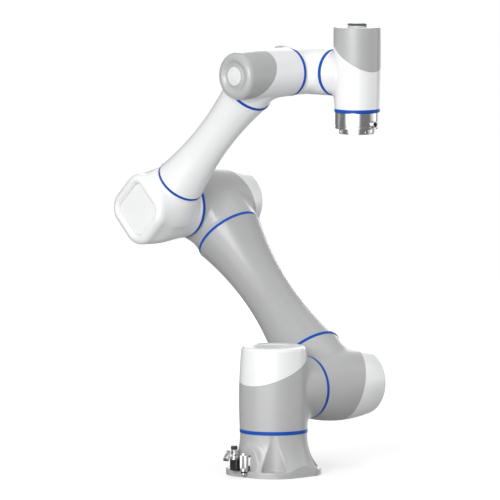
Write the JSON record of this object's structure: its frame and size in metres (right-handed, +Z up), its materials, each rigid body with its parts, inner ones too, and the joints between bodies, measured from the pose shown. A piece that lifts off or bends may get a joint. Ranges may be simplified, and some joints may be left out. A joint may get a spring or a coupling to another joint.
{
  "type": "six-axis robot arm",
  "caption": "Six-axis collaborative robot arm with waisted tube links, slanted end caps on its joint modules, accent rings and a round tool flange.",
  "frame": {"origin": "centre of the base's mounting face", "axes": "+Z up along the base axis; +Y along the shoulder and elbow axes, towards the upper arm; +X along the wrist 2 axis at rest, away from the elbow"},
  "size_m": [0.4767, 0.3332, 0.7925],
  "materials": {
    "grey_paint": "satin paint on cast aluminium",
    "white_paint": "gloss paint on cast aluminium",
    "blue_accent": "gloss",
    "badge_grey": "satin",
    "gear_steel": "ground",
    "stator_iron": "laminated iron with enamelled copper windings",
    "rotor_steel": "turned",
    "circuit_board": "solder mask",
    "machined_aluminium": "turned, polished",
    "connector_metal": "nickel plated",
    "connector_black": "moulded",
    "base_plate_metal": "plain sheet"
  },
  "bodies": {
    "base": {"base_casting": "grey_paint", "base_plate": "base_plate_metal", "power_connector": "connector_black", "signal_connector": "connector_metal", "base_joint_output_hub": "gear_steel"},
    "connector_latch": {"power_latch": "connector_metal"},
    "shoulder_link": {"base_joint_housing": "grey_paint", "base_joint_cap": "white_paint", "base_joint_accent_ring": "blue_accent", "base_joint_gear_bearing": "gear_steel", "base_joint_motor_stator": "stator_iron", "base_joint_drive_board": "circuit_board", "shoulder_output_hub": "gear_steel"},
    "upper_arm": {"shoulder_housing": "grey_paint", "shoulder_cap": "white_paint", "shoulder_accent_ring": "blue_accent", "upper_arm_tube": "grey_paint", "upper_arm_accent_collars": "blue_accent", "elbow_housing": "grey_paint", "elbow_cap": "white_paint", "elbow_accent_ring": "blue_accent", "upper_arm_gear_bearings": "gear_steel", "upper_arm_motor_stators": "stator_iron", "upper_arm_drive_boards": "circuit_board"},
    "forearm": {"elbow_output_hub": "gear_steel", "elbow_casting": "white_paint", "elbow_lid": "white_paint", "forearm_tube": "white_paint", "forearm_accent_collars": "blue_accent", "wrist_1_housing": "white_paint", "wrist_1_cap": "grey_paint", "wrist_1_accent_ring": "blue_accent", "wrist_1_badge": "badge_grey", "wrist_1_gear_bearing": "gear_steel", "wrist_1_motor_stator": "stator_iron", "wrist_1_drive_board": "circuit_board"},
    "wrist_1_link": {"wrist_1_output_hub": "gear_steel", "wrist_2_housing": "white_paint", "wrist_2_cap": "grey_paint", "wrist_2_accent_ring": "blue_accent", "wrist_2_badge": "badge_grey", "wrist_2_gear_bearing": "gear_steel", "wrist_2_motor_stator": "stator_iron", "wrist_2_drive_board": "circuit_board"},
    "wrist_2_link": {"wrist_2_output_hub": "gear_steel", "wrist_3_housing": "white_paint", "wrist_3_cap": "grey_paint", "wrist_3_accent_ring": "blue_accent", "wrist_3_badge": "badge_grey", "wrist_3_gear_bearing": "gear_steel", "wrist_3_motor_stator": "stator_iron", "wrist_3_drive_board": "circuit_board"},
    "tool": {"tool_flange": "machined_aluminium", "tool_connector": "connector_metal"},
    "base_joint_rotor": {"base_joint_motor_rotor": "rotor_steel"},
    "shoulder_rotor": {"shoulder_motor_rotor": "rotor_steel"},
    "elbow_rotor": {"elbow_motor_rotor": "rotor_steel"},
    "wrist_1_rotor": {"wrist_1_motor_rotor": "rotor_steel"},
    "wrist_2_rotor": {"wrist_2_motor_rotor": "rotor_steel"},
    "wrist_3_rotor": {"wrist_3_motor_rotor": "rotor_steel"}
  },
  "joints": [
    {"name": "base_turn", "type": "hinge", "parent": "base", "child": "shoulder_link", "pos_m": [0, 0, 0.08], "axis": [0, 0, 1], "range_deg": [-360, 360]},
    {"name": "shoulder_turn", "type": "hinge", "parent": "shoulder_link", "child": "upper_arm", "pos_m": [0, 0.08, 0.147], "axis": [0, 1, 0], "range_deg": [-315, 405]},
    {"name": "elbow_turn", "type": "hinge", "parent": "upper_arm", "child": "forearm", "pos_m": [-0.30194, 0.0727, 0.44893], "axis": [0, 1, 0], "range_deg": [-235, 35]},
    {"name": "wrist_1_turn", "type": "hinge", "parent": "forearm", "child": "wrist_1_link", "pos_m": [-0.0495, 0.0862, 0.70137], "axis": [0, 1, 0], "range_deg": [-360, 360]},
    {"name": "wrist_2_turn", "type": "hinge", "parent": "wrist_1_link", "child": "wrist_2_link", "pos_m": [0.0121, 0.141, 0.70137], "axis": [1, 0, 0], "range_deg": [-360, 360]},
    {"name": "wrist_3_turn", "type": "hinge", "parent": "wrist_2_link", "child": "tool", "pos_m": [0.0665, 0.141, 0.63737], "axis": [0, 0, -1], "range_deg": [-360, 360]},
    {"name": "latch_swing", "type": "hinge", "parent": "base", "child": "connector_latch", "pos_m": [-0.015, -0.094, 0.045], "axis": [-1, 0, 0], "range_deg": [0, 80]},
    {"name": "base_joint_rotor_spin", "type": "hinge", "parent": "shoulder_link", "child": "base_joint_rotor", "pos_m": [0, 0, 0.08], "axis": [0, 0, 1], "range_deg": [-36000, 36000]},
    {"name": "shoulder_rotor_spin", "type": "hinge", "parent": "upper_arm", "child": "shoulder_rotor", "pos_m": [0, 0.08, 0.147], "axis": [0, 1, 0], "range_deg": [-40500, 40500]},
    {"name": "elbow_rotor_spin", "type": "hinge", "parent": "upper_arm", "child": "elbow_rotor", "pos_m": [-0.30194, 0.0727, 0.44893], "axis": [0, 1, 0], "range_deg": [-23500, 23500]},
    {"name": "wrist_1_rotor_spin", "type": "hinge", "parent": "forearm", "child": "wrist_1_rotor", "pos_m": [-0.0495, 0.0862, 0.70137], "axis": [0, 1, 0], "range_deg": [-36000, 36000]},
    {"name": "wrist_2_rotor_spin", "type": "hinge", "parent": "wrist_1_link", "child": "wrist_2_rotor", "pos_m": [0.0121, 0.141, 0.70137], "axis": [1, 0, 0], "range_deg": [-36000, 36000]},
    {"name": "wrist_3_rotor_spin", "type": "hinge", "parent": "wrist_2_link", "child": "wrist_3_rotor", "pos_m": [0.0665, 0.141, 0.63737], "axis": [0, 0, -1], "range_deg": [-36000, 36000]}
  ],
  "couplings": [
    {"joint": "base_joint_rotor_spin", "follows": "base_turn", "ratio": 100},
    {"joint": "shoulder_rotor_spin", "follows": "shoulder_turn", "ratio": 100},
    {"joint": "elbow_rotor_spin", "follows": "elbow_turn", "ratio": -100},
    {"joint": "wrist_1_rotor_spin", "follows": "wrist_1_turn", "ratio": -100},
    {"joint": "wrist_2_rotor_spin", "follows": "wrist_2_turn", "ratio": -100},
    {"joint": "wrist_3_rotor_spin", "follows": "wrist_3_turn", "ratio": -100}
  ]
}
